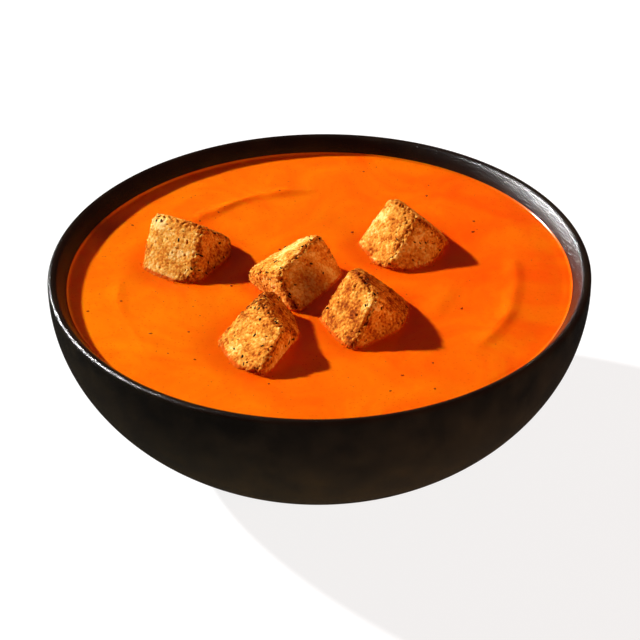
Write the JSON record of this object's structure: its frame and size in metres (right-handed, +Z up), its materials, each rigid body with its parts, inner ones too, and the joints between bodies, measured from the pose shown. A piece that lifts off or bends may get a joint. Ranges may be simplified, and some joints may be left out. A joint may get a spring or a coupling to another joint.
{
  "type": "bowl of tomato soup",
  "caption": "Dark stoneware bowl filled with smooth tomato soup, with toasted bread croutons half sunk in its surface.",
  "frame": {"origin": "centre of the flat foot that the bowl rests on", "axes": "+Z up; -Y towards the side seen in the picture, +X to its right"},
  "size_m": [0.16, 0.16, 0.0636],
  "materials": {
    "stoneware": "satin charcoal stoneware glaze",
    "tomato_soup": "satin opaque orange soup",
    "toasted_bread": "dry crumb with toasted sides"
  },
  "bodies": {
    "root": {"bowl": "stoneware", "soup": "tomato_soup", "crouton_1": "toasted_bread", "crouton_2": "toasted_bread", "crouton_3": "toasted_bread", "crouton_4": "toasted_bread", "crouton_5": "toasted_bread"}
  },
  "joints": []
}
